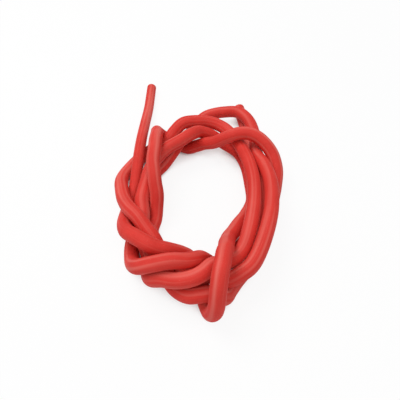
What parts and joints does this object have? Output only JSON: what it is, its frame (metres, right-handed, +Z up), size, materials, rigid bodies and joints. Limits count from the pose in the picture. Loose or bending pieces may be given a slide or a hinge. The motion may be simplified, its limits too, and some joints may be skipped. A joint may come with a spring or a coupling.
{
  "type": "rubber vacuum tubing",
  "caption": "Soft thick-walled rubber tube with a round bore, lying as a loose wrapped hank; joins lab glassware and pump nipples under vacuum.",
  "frame": {"origin": "on the table, under the middle of the hank's box, loose end included", "axes": "+Z up from the table, +Y along the loose end towards its cut, +X to the right seen from above with +Y away"},
  "size_m": [0.0764, 0.1432, 0.0258],
  "materials": {
    "rubber": "satin"
  },
  "bodies": {
    "root": {"tubing": "rubber"}
  },
  "joints": []
}
